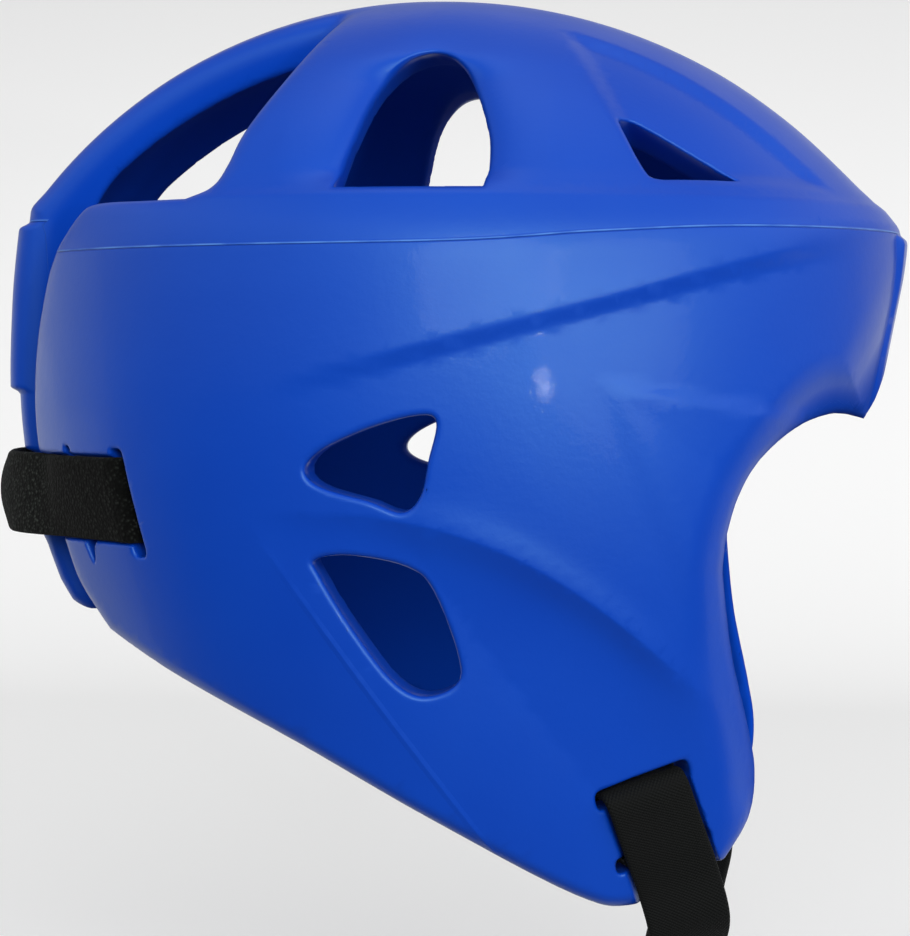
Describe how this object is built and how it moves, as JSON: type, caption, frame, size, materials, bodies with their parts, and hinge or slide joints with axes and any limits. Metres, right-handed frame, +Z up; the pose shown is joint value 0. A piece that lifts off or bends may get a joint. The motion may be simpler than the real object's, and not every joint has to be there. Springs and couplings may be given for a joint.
{
  "type": "head guard",
  "caption": "Padded open-face head guard: moulded foam shell with crown vents, ear holes and cheek pieces, a rear closing strap and a chin strap.",
  "frame": {"origin": "top of the head hollow under the middle of the crown, where the wearer's head sits", "axes": "+X forward through the face opening, +Y to the wearer's left, +Z up"},
  "size_m": [0.2535, 0.2014, 0.2753],
  "materials": {
    "shell": "smooth satin blue skin over moulded foam",
    "rear_strap": "black brushed loop-pile elastic",
    "chin_strap": "black woven webbing"
  },
  "bodies": {
    "root": {"shell": "shell", "rear_strap": "rear_strap", "chin_strap": "chin_strap"}
  },
  "joints": []
}
